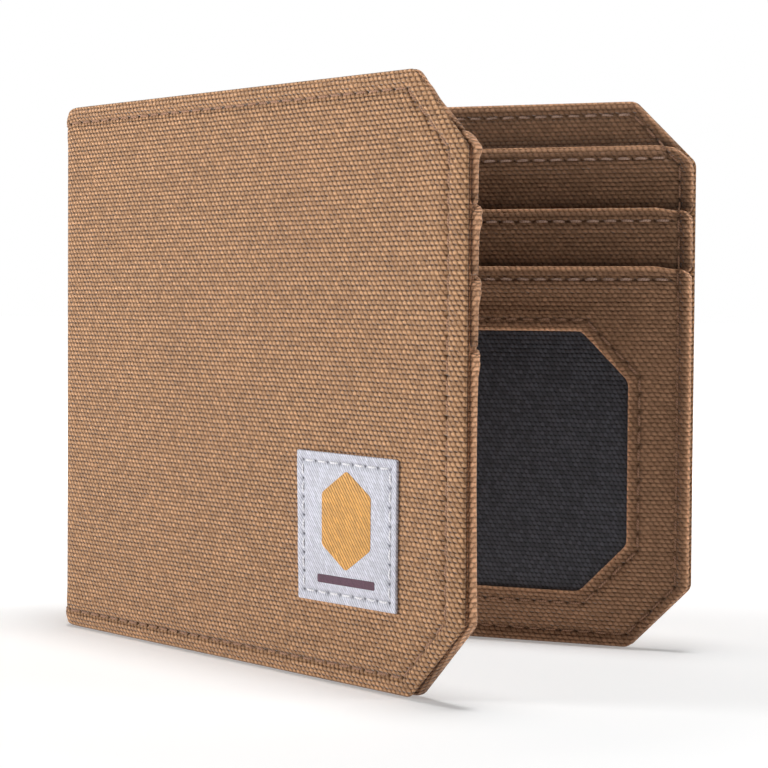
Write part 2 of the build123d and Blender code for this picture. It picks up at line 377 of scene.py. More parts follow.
    def squeeze(self, s, z, v):
        """The pocket stack, pressed together towards its sewn edges."""
        edge, _ = self.whole.depth(s, z)
        share = np.interp(self.height - z, *self.edge_share)
        at_edge = 1 - smooth(edge, 2.6, 9.0)
        at_fold = (1 - smooth(s, 7.5, 13.0)) * smooth(s, 2.5, 5.0)
        inside, _ = self.inner_seam.depth(s, z)
        band = np.clip(-inside / np.maximum(edge - inside, 0.1), 0, 1)
        press = 1 - 0.42 * bell(inside, 0.7) * (edge > 0.3) + 0.18 * np.sin(math.pi * band) ** 0.8
        scale = (1 + (share - 1) * at_edge) * (1 - 0.25 * at_fold * (1 - at_edge)) * press
        base = self.under(s, STACK_BASE)
        return self.pinch(s, z, base + (v - STACK_BASE) * scale)


turn_of_front = 2 * TURN - math.pi
back = Leaf(
    "back", BACK_FOLD, np.array([1.0, 0.0]), np.array([0.0, -1.0]), -STRIP, BACK_CUT, BACK_EDGE,
)
front = Leaf(
    "front", FRONT_FOLD, np.array([math.cos(turn_of_front), math.sin(turn_of_front)]),
    np.array([-math.sin(turn_of_front), math.cos(turn_of_front)]), STRIP, FRONT_CUT, FRONT_EDGE,
)


# ---- cloth pieces ----
def thinned(families, keep):
    """Points of every family, dropping one that is closer than its family's gap to an earlier one."""
    cell = 0.30
    taken, kept = {}, []
    for points, gap in families:
        points = np.array(points, float).reshape(-1, 2)
        points = points[keep(points)]
        for s, z in points:
            i, j = math.floor(s / cell), math.floor(z / cell)
            close = any(
                (s - a) ** 2 + (z - b) ** 2 < gap * gap
                for di in (-1, 0, 1) for dj in (-1, 0, 1) for a, b in taken.get((i + di, j + dj), ())
            )
            if not close:
                taken.setdefault((i, j), []).append((s, z))
                kept.append((s, z))
    return kept


def triangulate(loops, seeds, hole):
    points, edges = [], []
    for loop in loops:
        start, count = len(points), len(loop)
        points += [Vector((float(a), float(b))) for a, b in loop]
        edges += [(start + i, start + (i + 1) % count) for i in range(count)]
    bordering = len(points)
    points += [Vector((float(a), float(b))) for a, b in seeds]
    places, _, faces, origins, _, _ = delaunay_2d_cdt(points, edges, [], 1, 1e-5)
    places = np.array([tuple(p) for p in places])
    faces = np.array([face for face in faces if len(face) == 3])
    if hole is not None:
        middles = places[faces].mean(1)
        faces = faces[~hole.contains(middles, 0.0)]
    index = {old: new for new, olds in enumerate(origins) for old in olds}
    return places, faces, [index[i] for i in range(bordering)]


def grid_points(outline, spacing, margin):
    low, high = outline.points.min(0), outline.points.max(0)
    rows = []
    for j, z in enumerate(np.arange(low[1], high[1], spacing)):
        first = low[0] + (spacing / 2 if j % 2 else 0)
        rows += [(s, z) for s in np.arange(first, high[0], spacing)]
    rows = np.array(rows)
    return rows[outline.contains(rows, margin)]


def cloth(
    name, leaf, outline, low, high, material, rim, rings, extra=(), shown="high", spacing=1.7, edge=0.6,
    hole=None, seams=(), seam_line_dirt_and_shade=0.60, move=None, wear_and_light_by_height=np.ones_like, shade=None,
):
    """A closed sheet between two depths, with its edges rounded over.

    low and high give the depth of its two faces from s and z. seams press needle holes into the shown
    face, and darken the holes and the line between them with dirt and painted shade. The mesh follows
    the rim at each distance in rings on the shown face, and in extra on the other. move shifts points in
    the plane of the sheet, after their depths are known. The last two arguments give, from height, how
    much the rim is lightened by rubbing and by a painted highlight, and, from s and z, more painted shade.
    """
    loops = [outline.samples(edge)]
    if hole is not None:
        around, away = hole.samples(edge)
        loops.append((around[::-1], -away[::-1]))
    inner_loops = [places - normal * rim for places, normal in loops]
    clear = rim + 0.12

    def keep(points):
        inside = outline.contains(points, clear)
        return inside if hole is None else inside & ~hole.inset(-clear).contains(points, 0.0)

    surfaces = []
    for face, depth_of in (("low", low), ("high", high)):
        families = []
        if face == shown:
            for seam in seams:
                families += seam.seeds()
        for offset in rings if face == shown else extra:
            families.append((outline.inset(rim + offset).samples(edge)[0], 0.25))
            if hole is not None:
                families.append((hole.inset(-rim - offset).samples(edge)[0], 0.25))
        step = spacing if face == shown else max(spacing, 2.4)
        families.append((grid_points(outline, step, rim + 0.5), step * 0.55))
        opening = None if hole is None else hole.inset(-rim + 0.02)
        places, faces, border = triangulate(inner_loops, thinned(families, keep), opening)
        surfaces.append((places, faces, border, depth_of(places[:, 0], places[:, 1])))

    places, depths = [surface[0] for surface in surfaces], [surface[3] for surface in surfaces]
    texture, starts = list(places), [0, len(places[0])]
    faces, worn = [], []
    for k, (points, tris, _, _) in enumerate(surfaces):
        near = outline.depth(points[:, 0], points[:, 1])[0]
        if hole is not None:
            near = np.minimum(near, -hole.depth(points[:, 0], points[:, 1])[0])
        # Rims are lightened by rubbing and by a painted highlight, scaled at each height.
        worn.append(bell(near, 0.55) * wear_and_light_by_height(points[:, 1]))
        faces += [tuple(int(i) + starts[k] for i in (tri if k else tri[::-1])) for tri in tris]
    steps, begin, count = 8, 0, sum(map(len, places))
    for (edge_places, normal), inner in zip(loops, inner_loops):
        size = len(inner)
        borders = [surfaces[k][2][begin:begin + size] for k in (0, 1)]
        v_low, v_high = (surfaces[k][3][borders[k]] for k in (0, 1))
        rows = [[starts[0] + i for i in borders[0]]]
        half_round = np.maximum(rim * math.pi / 2, np.abs(v_high - v_low) / 2 + 0.4 * rim)[:, None]
        for k in range(1, steps):
            angle = math.pi * (k / steps - 0.5)
            places.append(inner + normal * rim * math.cos(angle))
            depths.append((v_low + v_high) / 2 + (v_high - v_low) / 2 * math.sin(angle))
            texture.append(inner + normal * half_round * (1 - abs(angle) * 2 / math.pi))
            # The rounded rim takes the whole lightening: rubbing and painted highlight.
            worn.append(wear_and_light_by_height(edge_places[:, 1]))
            rows.append(list(range(count, count + size)))
            count += size
        rows.append([starts[1] + i for i in borders[1]])
        for lower, upper in zip(rows[:-1], rows[1:]):
            for i in range(size):
                j = (i + 1) % size
                faces.append((lower[i], lower[j], upper[j], upper[i]))
        begin += size

    places, depths, texture, worn = (np.concatenate(parts) for parts in (places, depths, texture, worn))
    # Darkening: dirt and painted shade in the needle holes and along each seam, and the painted shade given.
    soil = np.zeros(len(places))
    k, into = (0, 1) if shown == "low" else (1, -1)
    on_face = slice(starts[k], starts[k] + len(surfaces[k][0]))
    for seam in seams:
        holes, line = seam.distances(places[on_face])
        s, z = places[on_face].T
        room = np.abs(high(s, z) - low(s, z))
        depths[on_face] += into * np.minimum(0.24, 0.5 * room) * bell(holes, 0.24)
        seam_dirt_and_shade = np.maximum(bell(holes, 0.26), seam_line_dirt_and_shade * bell(line, 0.36))
        soil[on_face] = np.maximum(soil[on_face], seam_dirt_and_shade)
    if shade is not None:
        soil = np.maximum(soil, shade(places[:, 0], places[:, 1]))
    if move is not None:
        places = move(places)
    points = leaf.place(places[:, 0], places[:, 1], depths)
    grain = np.column_stack([into * (leaf.shift + leaf.flip * texture[:, 0]), texture[:, 1]]) * MM
    return mesh_object(name, points, faces, grain, material, worn=worn, soil=soil)


SHARP_EDGE = 65     # degrees


def mesh_object(name, points, faces, grain, material, **weights):
    mesh = bpy.data.meshes.new(name)
    mesh.from_pydata([tuple(p) for p in points], [], faces)
    layer = mesh.uv_layers.new(name="cloth")
    corner_vertices = np.empty(len(mesh.loops), int)
    mesh.loops.foreach_get("vertex_index", corner_vertices)
    layer.data.foreach_set("uv", grain[corner_vertices].astype(np.float32).ravel())
    for key, values in weights.items():
        attribute = mesh.attributes.new(key, "FLOAT", "POINT")
        attribute.data.foreach_set("value", np.asarray(values, np.float32))
    shaped = bmesh.new()
    shaped.from_mesh(mesh)
    bmesh.ops.recalc_face_normals(shaped, faces=shaped.faces)
    for face in shaped.faces:
        face.smooth = True
    for edge in shaped.edges:
        edge.smooth = edge.calc_face_angle(0.0) <= math.radians(SHARP_EDGE)
    shaped.to_mesh(mesh)
    shaped.free()
    mesh.materials.append(material)
    return added(name, mesh)


def stitches(name, leaf, runs, material, seed, proud=0.0, fall=3.2):
    """Threads between needle holes. runs holds (seam, face, side): side is -1 where outwards is -v.

    A small fall sinks more of each stitch into the cloth.
    """
    rng = np.random.default_rng(seed)
    points, depths, faces, grain = [], [], [], []
    steps, around = 10, 8
    count = 0
    for seam, face, side in runs:
        for a, b in zip(seam.holes[:-1], seam.holes[1:]):
            length = float(np.linalg.norm(b - a))
            if length < 0.8:
                continue
            along = (b - a) / length
            across = np.array([-along[1], along[0]])
            swing = rng.normal(0, 0.035)
            width = THREAD * rng.uniform(0.92, 1.08)
            t = np.linspace(0.02, 0.98, steps + 1)
            ends = np.abs(2 * t - 1)
            line = a + np.outer(t * length, along) + np.outer((t - 0.5) * length * swing, across)
            surface = face(line[:, 0], line[:, 1])
            lift = -0.46 + (0.52 + proud) * (1 - ends ** fall)
            for k in range(steps + 1):
                thin = 1 - 0.35 * ends[k] ** 6
                for m in range(around):
                    angle = 2 * math.pi * m / around
                    points.append(line[k] + across * width * thin * math.cos(angle))
                    depths.append(surface[k] + side * (lift[k] + 0.75 * width * thin * math.sin(angle)))
                    grain.append((t[k] * length * MM, m / around * 6 * width * MM))
            for row in range(count, count + steps * around, around):
                for m in range(around):
                    n = (m + 1) % around
                    faces.append((row + m, row + n, row + around + n, row + around + m))
            faces.append(tuple(range(count, count + around))[::-1])
            count += (steps + 1) * around
            faces.append(tuple(range(count - around, count)))
    points = np.array(points)
    placed = leaf.place(points[:, 0], points[:, 1], np.array(depths))
    return mesh_object(name, placed, faces, np.array(grain), material)


# ---- materials ----
class Nodes:
    """A node tree in which numbers and sockets mix freely."""

    def __init__(self, owner):
        owner.use_nodes = True
        self.tree = owner.node_tree

    def put(self, node, key, value):
        if isinstance(value, bpy.types.NodeSocket):
            self.tree.links.new(value, node.inputs[key])
        else:
            node.inputs[key].default_value = value

    def node(self, kind, *values, **settings):
        """A new node with its settings, and with its first inputs filled."""
        made = self.tree.nodes.new("ShaderNode" + kind)
        for key, value in settings.items():
            setattr(made, key, value)
        for i, value in enumerate(values):
            self.put(made, i, value)
        return made

    def math(self, operation, *values):
        return self.node("Math", *values, operation=operation).outputs[0]

    def sum(self, *values):
        total = values[0]
        for value in values[1:]:
            total = self.math("ADD", total, value)
        return total

    def times(self, a, b):
        return self.math("MULTIPLY", a, b)

    def less(self, a, b):
        return self.math("SUBTRACT", a, b)

    def floor(self, value):
        return self.math("FLOOR", value)

    def part(self, value):
        """The part of a value past its floor, from -0.5 to 0.5."""
        return self.less(self.math("FRACT", value), 0.5)

    def squared(self, value, size):
        return self.math("POWER", self.math("ABSOLUTE", self.math("DIVIDE", value, size)), 2.0)

    def dome(self, far):
        """Height of a round crossing, where far is the square of the distance from its middle."""
        return self.math("SQRT", self.math("MAXIMUM", self.less(1.0, far), 0.0))

    def ramp(self, value, low, high, to_low=0.0, to_high=1.0, shape="SMOOTHSTEP"):
        return self.node("MapRange", value, low, high, to_low, to_high, interpolation_type=shape).outputs[0]

    def mix(self, share, a, b):
        node = self.node("Mix", share, data_type="RGBA")
        self.put(node, 6, (*a, 1))
        self.put(node, 7, (*b, 1))
        return node.outputs[2]

    def scaled(self, colour, tone):
        node = self.node("VectorMath", colour, operation="SCALE")
        self.put(node, "Scale", tone)
        return node.outputs[0]

    def vector(self, x, y, z=0.0):
        return self.node("CombineXYZ", x, y, z).outputs[0]

    def noise(self, vector, scale, detail=2.0, roughness=0.5):
        node = self.node("TexNoise", vector, noise_dimensions="3D")
        for key, value in (("Scale", scale), ("Detail", detail), ("Roughness", roughness)):
            self.put(node, key, value)
        return self.less(node.outputs[0], 0.5)

    def random(self, vector):
        node = self.node("TexWhiteNoise", vector, noise_dimensions="3D")
        return self.less(node.outputs[0], 0.5)


class Shader(Nodes):
    """A material laid out along the cloth's grain."""

    def __init__(self, name, roughness=0.75, specular=0.30, sheen=0.0, sheen_roughness=0.4):
        self.material = bpy.data.materials.new(name)
        super().__init__(self.material)
        self.surface = self.tree.nodes["Principled BSDF"]
        self.put(self.surface, "Roughness", roughness)
        self.put(self.surface, "Specular IOR Level", specular)
        self.put(self.surface, "Sheen Weight", sheen)
        self.put(self.surface, "Sheen Roughness", sheen_roughness)

    def grain(self):
        """u along the cloth, and height, both in metres."""
        parts = self.node("SeparateXYZ", self.node("UVMap", uv_map="cloth").outputs[0])
        return parts.outputs[0], parts.outputs[1]

    def weight(self, key):
        return self.node("Attribute", attribute_name=key).outputs["Fac"]

    def finish(self, colour, height, relief):
        self.put(self.surface, "Base Color", colour)
        bump = self.node("Bump")
        for key, value in (("Strength", 1.0), ("Distance", relief), ("Height", height)):
            self.put(bump, key, value)
        self.put(self.surface, "Normal", bump.outputs[0])
        return self.material


def woven(
    name, base, gap, across, tall, plump_share=0.12, slub=0.10, mottle=0.10, pit=0.78, relief=0.00036,
    wander=0.20, wear_and_highlight_gain=0.0, **finish,
):
    """Plain weave: rows of plump crossings, each row half a step along, with a dark pit under each, in the
    bump and as painted shade.
    """
    n = Shader(name, **finish)
    u, z = n.grain()
    flat = n.vector(u, z)
    drift = n.noise(flat, 350.0, 3.0)
    drift_up = n.noise(n.vector(z, u, 0.3), 350.0, 3.0)
    row = n.sum(n.math("DIVIDE", z, tall), n.times(drift_up, wander * 2))
    step = n.sum(n.math("DIVIDE", u, 2 * across), n.times(drift, wander))
    # Weights from the mesh: rim lightening by rubbing and painted highlight, and darkening by dirt and
    # painted shade.
    worn, soil = n.weight("worn"), n.weight("soil")

    def column(index):
        along = n.sum(step, n.math("FRACT", n.times(index, 0.5)))
        return n.floor(along), n.part(along)

    def crossing(index):
        place, part = column(index)
        plump = n.random(n.vector(place, index))
        off_row = n.less(n.less(row, index), 0.5)
        lean = n.times(off_row, n.sum(0.26, n.times(n.random(n.vector(index, place, 5.0)), 0.3)))
        far = n.sum(n.squared(n.sum(part, lean), 0.49), n.squared(off_row, 0.56))
        return n.times(n.dome(far), n.sum(1.0, n.times(plump, 0.34))), plump

    index = n.floor(row)
    beside = n.sum(index, n.math("SIGN", n.part(row)))
    own, plump = crossing(index)
    next_one, _ = crossing(beside)
    dome = n.math("MAXIMUM", n.math("MAXIMUM", own, next_one), 0.12)
    # Painted shade: a dark pit under each crossing, where light from above leaves shade; it goes into the
    # bump too.
    edge = n.floor(n.sum(row, 0.5))
    off_edge = n.less(row, edge)
    pit_place, off_column = column(edge)
    slanted = n.sum(off_column, n.times(off_edge, 0.9))
    far = n.math("SQRT", n.sum(n.squared(slanted, 0.36), n.squared(off_edge, 0.24)))
    deep = n.sum(0.9, n.times(n.random(n.vector(pit_place, edge, 9.0)), 1.2))
    pits = n.times(n.ramp(far, 0.25, 1.15, 1.0, 0.0), n.times(deep, n.sum(1.0, n.times(worn, -0.3))))
    fibres = n.noise(n.vector(n.times(u, 9.0), n.times(z, 2.5)), 1400.0, 2.0)
    weave = n.less(dome, n.times(pits, pit))
    height = n.sum(weave, n.times(fibres, 0.3))
    row_tone = n.random(n.vector(index, 3.7))
    row_run = n.noise(n.vector(n.times(u, 0.25), n.times(index, 0.37)), 260.0, 1.0)
    patches = n.noise(flat, 70.0, 3.0, 0.6)
    spots = n.noise(flat, 500.0, 2.0)
    # Random slubs, patches and fibres, and a painted highlight on the highest crossings.
    tone = n.sum(
        1.0, n.times(plump, 2 * plump_share), n.times(row_tone, slub * 0.5), n.times(row_run, slub * 2),
        n.times(patches, mottle * 2), n.times(spots, mottle * 1.4), n.times(fibres, 0.55),
        n.times(n.ramp(weave, 0.78, 1.08), 0.22),
    )
    # Lighter at the rims: rubbing and a painted highlight.
    tone = n.times(tone, n.sum(1.0, n.times(worn, wear_and_highlight_gain)))
    # Darker with dirt and painted shade at the seams, and with the painted shade that is given.
    tone = n.times(tone, n.sum(1.0, n.times(soil, -0.72)))
    # Low places take the gap colour: painted shade between the crossings.
    colour = n.scaled(n.mix(n.ramp(weave, -0.50, 0.92), gap, base), tone)
    return n.finish(colour, height, relief)


def satin(name, base, gap, step, relief=0.00007, **finish):
    """Satin weave: short floats in slanting ribs."""
    n = Shader(name, **finish)
    u, z = n.grain()
    flat = n.vector(u, z)
    wander = n.times(n.noise(flat, 500.0, 2.0), 0.3)
    rib = n.sum(n.math("DIVIDE", n.sum(u, n.times(z, 0.8)), step), wander)
    float_along = n.math("DIVIDE", n.less(z, n.times(u, 0.8)), step * 2.4)
    rib_index = n.floor(rib)
    along = n.sum(float_along, n.times(rib_index, 0.38))
    float_height = n.dome(n.sum(n.squared(n.part(along), 0.85), n.squared(n.part(rib), 0.52)))
    plump = n.random(n.vector(n.floor(along), rib_index))
    patches = n.noise(flat, 120.0, 2.0)
    tone = n.sum(1.0, n.times(plump, 0.26), n.times(patches, 0.10))
    # Darker with dirt and painted shade at the label's seam.
    tone = n.times(tone, n.sum(1.0, n.times(n.weight("soil"), -0.80)))
    # Low places take the gap colour: painted shade between the floats.
    colour = n.scaled(n.mix(n.ramp(float_height, 0.05, 0.8), gap, base), tone)
    return n.finish(colour, float_height, relief)


def spun(name, base, gap, twist=0.00042, relief=0.00006, **finish):
    """Twisted sewing thread: u runs along it and z round it."""
    n = Shader(name, **finish)
    u, z = n.grain()
    turns = n.math("DIVIDE", n.sum(u, n.times(z, 0.6)), twist)
    ply = n.math("ABSOLUTE", n.math("SINE", n.times(turns, math.pi)))
    fuzz = n.noise(n.vector(u, z), 2500.0, 2.0)
    tone = n.sum(1.0, n.times(fuzz, 0.35), n.times(n.noise(n.vector(u, z), 200.0), 0.2))
    # Darker between the plies: painted shade.
    colour = n.scaled(n.mix(n.ramp(ply, 0.05, 0.6), gap, base), tone)
    return n.finish(colour, n.sum(ply, n.times(fuzz, 0.3)), relief)


DUCK_ACROSS, DUCK_TALL = 0.000495, 0.00072
duck = woven(
    "duck", (0.51, 0.280, 0.144), (0.20, 0.080, 0.025), DUCK_ACROSS, DUCK_TALL, pit=0.70,
    roughness=0.78, specular=0.25, sheen=0.22, sheen_roughness=0.3,
)
# A darker copy of the duck, with a softer weave, for the inner faces: painted shade of the inside of the
# fold.
shaded_inner_duck = woven(
    "duck_inner", (0.355, 0.195, 0.111), (0.195, 0.096, 0.047), DUCK_ACROSS, DUCK_TALL, pit=0.48,
    relief=0.00024, plump_share=0.08, wear_and_highlight_gain=1.25, roughness=0.8, specular=0.2, sheen=0.25, sheen_roughness=0.3,
)
dark_cloth = woven(
    "dark_lining", (0.064, 0.065, 0.078), (0.009, 0.009, 0.012), 0.00040, 0.00074, plump_share=0.18,
    relief=0.00010, roughness=0.62, specular=0.4, sheen=0.10,
)
board = woven(
    "interlining", (0.62, 0.60, 0.55), (0.45, 0.43, 0.40), 0.0003, 0.0003, relief=0.00003, roughness=0.9,
)
thread = spun("thread", (0.38, 0.21, 0.13), (0.18, 0.09, 0.05), roughness=0.65, sheen=0.05)
inner_thread = spun("thread_inner", (0.49, 0.32, 0.24), (0.24, 0.145, 0.10), roughness=0.6, sheen=0.05)
label_thread = spun("label_thread", (0.86, 0.85, 0.88), (0.50, 0.49, 0.53), roughness=0.5)
label_cloth = satin(
    "woven_label", (0.57, 0.57, 0.64), (0.15, 0.15, 0.21), 0.00056, roughness=0.5, specular=0.4,
)
gold = satin("label_gold", (0.68, 0.34, 0.075), (0.28, 0.10, 0.02), 0.00066, relief=0.00016, roughness=0.45)
plum = satin("label_plum", (0.12, 0.055, 0.085), (0.04, 0.02, 0.03), 0.00030, roughness=0.6)

# ---- cover and linings ----
def add_cover(leaf):
    shell = cloth(
        f"{leaf.name}_cover_cloth", leaf, leaf.whole, leaf.cover_face, leaf.cover_back, duck, rim=0.42,
        seams=[leaf.cover_stitching], shown="low", rings=(0.3, 0.7, 1.2), extra=(HEM - 0.45, HEM - 0.3),
        spacing=1.5,
    )
    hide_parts(f"{leaf.name}_cover", "spine_cover")
    leaf.blend(shell)


def add_board(leaf):
    plate = cloth(
        f"{leaf.name}_stiffener_board", leaf, leaf.outline(3.2, inset=HEM + 0.3),
        lambda s, z: 0 * s + BOARD[0], lambda s, z: 0 * s + BOARD[1], board, rim=0.1, rings=(), spacing=4.0,
        edge=2.0,
    )
    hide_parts(f"{leaf.name}_stiffener")
    leaf.ride(plate)


def add_lining(leaf, part, inset, low, high, rests_on, rim, extra=()):
    """A dark lining of the note compartment, from the free edge to the middle of the spine."""
    lining = cloth(
        f"{leaf.name}_{part}_cloth", leaf, leaf.outline(-HALF_SPINE, cut=True, inset=inset), low, high,
        dark_cloth, rim=rim, rings=(0.5,), spacing=2.4, extra=extra,
    )
    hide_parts(f"{leaf.name}_{part}", f"spine_{part}")
    leaf.blend(lining)


for leaf in (front, back):
    add_cover(leaf)
    add_board(leaf)
    add_lining(leaf, "bill_lining", 1.5, *map(leaf.lining_face, BILL_LINING), "cover", 0.09)
    face = leaf.lining_face(DIVIDER_LINING[1])
    add_lining(leaf, "divider_lining", 1.7, leaf.divider_back, face, "inner_panel", 0.10, extra=(4.0, 5.0))


# ---- pocket stack ----
class Layer:
    """One sheet of the stack: where it starts and ends, and the depths of its two faces."""

    def __init__(self, leaf, node, below):
        low, high = leaf.span(node)
        self.node, self.start, self.top = node, low[0], high[1]
        self.back, self.face = (below.face if below else STACK_BASE), high[2]
        self.over = None


def build_stack(leaf, nodes, hole=None, backing=None):
    """The inner panel and its pockets, from the back to the front."""
    layers = []
    for node in [f"{leaf.name}_inner_panel", *nodes]:
        layers.append(Layer(leaf, node, layers[-1] if layers else None))
    if backing:
        layers[-1].back = leaf.span(backing)[1][2]
    for lower, upper in zip(layers[:-1], layers[1:]):
        lower.over = upper
    width = leaf.length

    def covered(layer, z):
        """1 where the next layer lies on this one."""
        return 1 - smooth(z, layer.over.top - 1.3, layer.over.top - 0.1) if layer.over else 0 * z

    def gape(layer, s, z):
        """How far a pocket's mouth stands off the layer behind it."""
        if layer is layers[0]:
            return 0 * s
        middle = np.clip((s - layer.start - 1) / (width - layer.start - 4), 0, 1)
        drop = layer.top - z
        uneven = 1 + 0.35 * waves(s, 0 * z, len(layer.node))
        return GAPE * np.sin(math.pi * middle) ** 0.6 * bell(drop, 5.0) * uneven

    def face_of(layer):
        def face(s, z):
            drop = layer.top - z
            hem = 1 - smooth(drop, 3.0, 5.0)
            thick = (0.30 if layer is layers[0] else 0.50) * hem
            line = 0.16 * bell(drop - HEM_SEAM, 0.5)
            body = 0.05 * waves(s, z, 11 + len(layer.node), 18.0)
            rounded = 0.32 * bell(drop, 0.5)
            v = layer.face + thick - line - rounded + gape(layer, s, z) + body * smooth(drop, 2, 6)
            if hole is not None and layer is layers[-1]:
                out = -hole.depth(s, z)[0]
                v = v + 0.34 * (1 - smooth(out, 2.9, 4.2)) - 0.16 * bell(out - WINDOW_SEAM, 0.5)
            return leaf.squeeze(s, z, v)
        return face

    def back_of(layer):
        def back_face(s, z):
            at_rim = 1 - smooth(leaf.whole.depth(s, z)[0], 0.62, 0.78)
            wrap = smooth(layer.top - z, 0.2, 1.1) * (1 - covered(layer, z)) * at_rim
            v = layer.back + 0.02 + gape(layer, s, z)
            v = v + (STACK_BASE + 0.02 - v) * wrap
            if layer is layers[0]:
                v = v - 0.60 * at_rim * (1 - smooth(leaf.height - z, 6.0, 11.0)) * leaf.raised(s)
            return leaf.squeeze(s, z, v)
        return back_face

    def mouth_shade(layer):
        def shade(s, z):
            # Painted shade: along the inner seam's groove, just above the next pocket's rim, and fading over
            # the strip above it.
            groove = 0.40 * bell(leaf.inner_seam.depth(s, z)[0], 0.45)
            if layer.over is None:
                return groove
            above = z - layer.over.top
            shaded = 0.50 * bell(above - 0.1, 1.1) + 0.34 * bell(above, 11.0)
            return groove + shaded * smooth(s, layer.over.start, layer.over.start + 3)
        return shade

    def tuck(layer):
        def move(places):
            s, z = places.T
            edge, normal = leaf.whole.depth(s, z)
            pull = 0.70 * covered(layer, z) * np.clip(1 - edge / 2.2, 0, 1)
            moved = places - normal * pull[:, None]
            if layer is not layers[0]:
                moved[:, 1] -= RIM_DROOP * smooth(s, width - 6.5, width - 2.5) * bell(layer.top - z, 1.6)
            return moved
        return move

    corners = leaf.inner_seam.points
    ring = Seam([(max(s, SEWN_START), z) for s, z in corners])
    hems = []
    for layer in layers[1:]:
        z = layer.top - HEM_SEAM
        right = width - INNER_SEAM[1]
        on_cut = width - leaf.corner - INNER_SEAM[2] * math.sqrt(2) + leaf.height - z
        hems.append(Seam([(layer.start + 3.2, z), (min(right, on_cut) - 1.0, z)]))
    upright = Seam([(layers[1].start + 2.2, 3.4), (layers[1].start + 2.2, layers[1].top - 0.6)])
    window_seam = None if hole is None else Seam(closed(hole.inset(-WINDOW_SEAM).points))

    for i, layer in enumerate(layers):
        first, windowed = i == 0, layer is layers[-1] and hole is not None
        outline = leaf.whole if first else leaf.outline(layer.start, top=leaf.height - layer.top)
        used = [ring] if first else [ring, upright, hems[i - 1]]
        if windowed:
            used.append(window_seam)
        piece = cloth(
            f"{layer.node}_cloth", leaf, outline, back_of(layer), face_of(layer), shaded_inner_duck, rim=0.32,
            seams=used, rings=(0.3, 0.7, 1.3, 2.2, 3.4), extra=(0.30, 0.42, 1.5),
            hole=hole if windowed else None, move=tuck(layer), edge=0.4, shade=mouth_shade(layer),
            # The painted rim highlight fades towards the bottom, which is in shade.
            wear_and_light_by_height=lambda z: smooth(z, 3.0, 16.0),
        )
        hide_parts(layer.node, *(["spine_inner_panel"] if first else []))
        if first:
            leaf.blend(piece)
        else:
            leaf.ride(piece)

    def topmost(s, z):
        v = face_of(layers[0])(s, z)
        for layer in layers[1:]:
            v = np.where((z < layer.top) & (s > layer.start), face_of(layer)(s, z), v)
        return v

    top_run = Seam([corners[4], (SEWN_START, corners[4][1])])
    around = Seam([(SEWN_START, corners[0][1]), *corners[1:5]])
    hem_runs = [(seam, face_of(layer), 1) for seam, layer in zip(hems, layers[1:])]
    sewn = [
        ("inner_edge_stitches", "edge_stitching", [(around, topmost, 1)], thread),
        ("panel_stitches", "panel_stitching", [(top_run, face_of(layers[0]), 1)], inner_thread),
        ("fold_side_stitches", "fold_side_stitching", [(upright, topmost, 1)], thread),
        ("pocket_stitches", "pocket_stitching", hem_runs, inner_thread),
    ]
    sewn = [(f"{leaf.name}_{name}", f"{leaf.name}_{node}", runs, yarn) for name, node, runs, yarn in sewn]
    if window_seam:
        window_run = [(window_seam, face_of(layers[-1]), 1)]
        sewn.append(("id_window_stitches", "id_window_stitching", window_run, thread))
    for i, (name, node, runs, yarn) in enumerate(sewn):
        proud, fall = (0.12, 1.8) if i else (0.0, 3.0)
        piece = stitches(name, leaf, runs, yarn, seed=20 + i, proud=proud, fall=fall)
        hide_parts(node)
        leaf.ride(piece)
    outer = stitches(
        f"{leaf.name}_cover_stitches", leaf, [(leaf.cover_stitching, leaf.cover_face, -1)], thread, seed=5
    )
    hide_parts(f"{leaf.name}_edge_stitching", "spine_stitching")
    leaf.blend(outer)


build_stack(front, [f"front_card_pocket_{k}" for k in (1, 2, 3, 4)])

low, high = back.span("id_window_stitching")
inset = WINDOW_SEAM + 0.25
s0, z0, s1, z1 = low[0] + inset, low[1] + inset, high[0] - inset, high[1] - inset
c = WINDOW_CUT
window = Outline([
    (s0 + c, z0), (s1 - c, z0), (s1, z0 + c), (s1, z1 - c),
    (s1 - c, z1), (s0 + c, z1), (s0, z1 - c), (s0, z0 + c),
])
back_pockets = ["back_card_pocket_upper", "back_card_pocket_lower", "id_pocket"]
build_stack(back, back_pockets, hole=window, backing="id_backing")

low, high = back.span("id_backing")


def backing_face(s, z):
    return back.squeeze(s, z, BACKING[1] + 0.03 * waves(s, z, 40, 22.0))


outline = back.outline(low[0], top=back.height - high[1]).inset([4, 4, 4, 0, 0], radius=1.0)
backing = cloth(
    "id_backing_cloth", back, outline, lambda s, z: back.squeeze(s, z, BACKING[0] + 0 * s), backing_face,
    dark_cloth, rim=0.08, rings=(0.5,), spacing=2.0,
)
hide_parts("id_backing")
back.ride(backing)

# ---- label ----
LABEL_SKEW = (0.6, 0.25)     # how far its upper fold-side corner is out of square
MOTIF = (5.8, 7.6, 4.0)      # half-width, half-height, and half-height of its upright sides
MOTIF_RISE = 1.4             # of its middle over the label's
RULE = (6.8, 0.65)           # half-width and half-height
RULE_HEIGHT = 3.6            # of its middle over the label's lower edge
low, high = front.span("label")
s0, z0, s1, z1 = *low[:2], *high[:2]
label_corners = [(s0, z0), (s1, z0), (s1, z1), (s0 - LABEL_SKEW[0], z1 + LABEL_SKEW[1])]
label_outline = Outline(label_corners, 0.35)
label_seam = Seam(closed(label_outline.inset(LABEL_SEAM).points))


def label_face(s, z):
    edge = label_outline.depth(s, z)[0]
    seam = 0.13 * bell(edge - LABEL_SEAM, 0.42)
    return front.cover_face(s, z) - 0.52 + seam - 0.03 * waves(s, z, 8, 9.0) - 0.05 * smooth(edge, 1.6, 5.0)


